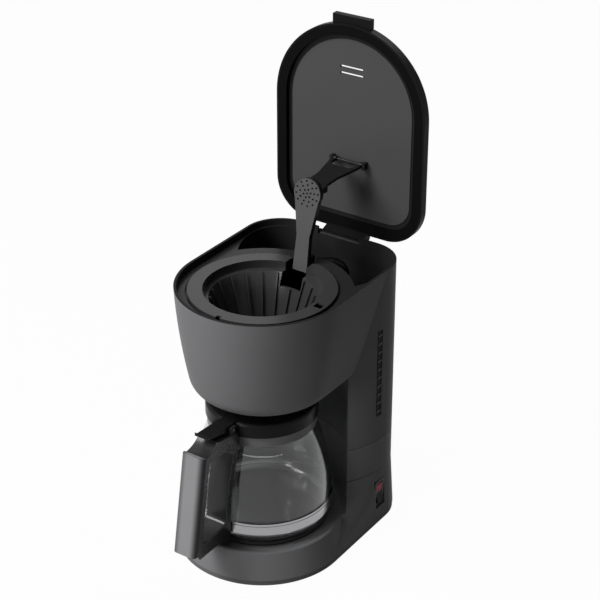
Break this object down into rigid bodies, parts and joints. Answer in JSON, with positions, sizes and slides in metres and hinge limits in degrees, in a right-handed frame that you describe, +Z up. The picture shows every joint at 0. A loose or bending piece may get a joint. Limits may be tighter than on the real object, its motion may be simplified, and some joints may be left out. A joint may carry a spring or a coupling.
{
  "type": "drip coffee maker",
  "caption": "Drip coffee maker with open hinged lid, swinging spray arm, lift-out filter basket, rear water tank, hot plate and glass carafe with handle and hinged lid.",
  "frame": {"origin": "middle of the footprint on the counter", "axes": "+Z up, -Y front (carafe handle), +X right side with water window and switch"},
  "size_m": [0.182, 0.3056, 0.5297],
  "materials": {
    "body_plastic": "matte",
    "black_plastic": "satin",
    "grey_plastic": "satin",
    "rubber": "matte",
    "glass": "clear",
    "window": "clear",
    "red_plastic": "gloss",
    "plate": "non-stick coat",
    "steel": "polished",
    "fuse_sleeve": "woven sleeve",
    "aluminium": "extruded"
  },
  "bodies": {
    "machine": {"upper_housing": "body_plastic", "lower_housing": "body_plastic", "bottom_tray": "body_plastic", "tray_screws": "steel", "rubber_feet": "rubber", "tank_insert": "black_plastic", "level_window": "window", "switch_frame": "black_plastic", "hot_plate": "plate", "plate_seal": "rubber", "heating_element": "aluminium", "element_bracket": "steel", "bracket_screws": "steel", "thermostat": "steel", "thermal_fuses": "fuse_sleeve", "inlet_hose": "rubber", "riser_hose": "rubber", "hose_clamps": "steel", "tank_outlet": "black_plastic", "riser_tube": "black_plastic", "riser_grommet": "rubber", "cord_inlet": "black_plastic", "lid_hinge_pin": "steel", "arm_pivot_pin": "steel"},
    "lid": {"lid_cover": "black_plastic", "lid_liner": "black_plastic", "lid_seal": "rubber", "lid_link_pin": "steel"},
    "arm": {"spray_arm": "black_plastic", "spray_plate": "grey_plastic", "arm_link_pin": "steel"},
    "link": {"lift_link": "black_plastic"},
    "basket": {"filter_basket": "black_plastic"},
    "drip_stop": {"drip_plunger": "black_plastic", "drip_seal": "rubber"},
    "carafe": {"carafe_glass": "glass", "carafe_band": "steel", "carafe_collar": "grey_plastic", "carafe_handle": "black_plastic", "handle_grip": "grey_plastic", "carafe_lid_pin": "steel"},
    "carafe_lid": {"carafe_lid": "black_plastic"},
    "rocker": {"switch_rocker": "red_plastic"}
  },
  "joints": [
    {"name": "lid_hinge", "type": "hinge", "parent": "machine", "child": "lid", "pos_m": [0, 0.12975, 0.291], "axis": [1, 0, 0], "range_deg": [0, 90]},
    {"name": "spray_arm_pivot", "type": "hinge", "parent": "machine", "child": "arm", "pos_m": [0, 0.06425, 0.288], "axis": [1, 0, 0], "range_deg": [0, 90]},
    {"name": "link_pivot", "type": "hinge", "parent": "lid", "child": "link", "pos_m": [0, 0.14175, 0.375], "axis": [1, 0, 0], "range_deg": [-90, 0]},
    {"name": "basket_lift", "type": "slide", "parent": "machine", "child": "basket", "axis": [0, 0, -1], "range_m": [-0.12, 0]},
    {"name": "drip_stop_slide", "type": "slide", "parent": "basket", "child": "drip_stop", "axis": [0, 0, 1], "range_m": [0, 0.004], "stiffness_N_per_m": 150},
    {"name": "carafe_slide", "type": "slide", "parent": "machine", "child": "carafe", "axis": [0, -1, 0], "range_m": [0, 0.18]},
    {"name": "carafe_lid_hinge", "type": "hinge", "parent": "carafe", "child": "carafe_lid", "pos_m": [0, -0.08075, 0.17], "axis": [1, 0, 0], "range_deg": [0, 4]},
    {"name": "switch_rocker_tilt", "type": "hinge", "parent": "machine", "child": "rocker", "pos_m": [0.0825, 0.07325, 0.0375], "axis": [0, 1, 0], "range_deg": [0, 10]}
  ],
  "couplings": [
    {"joint": "spray_arm_pivot", "follows": "lid_hinge", "ratio": 1},
    {"joint": "link_pivot", "follows": "lid_hinge", "ratio": -1}
  ]
}
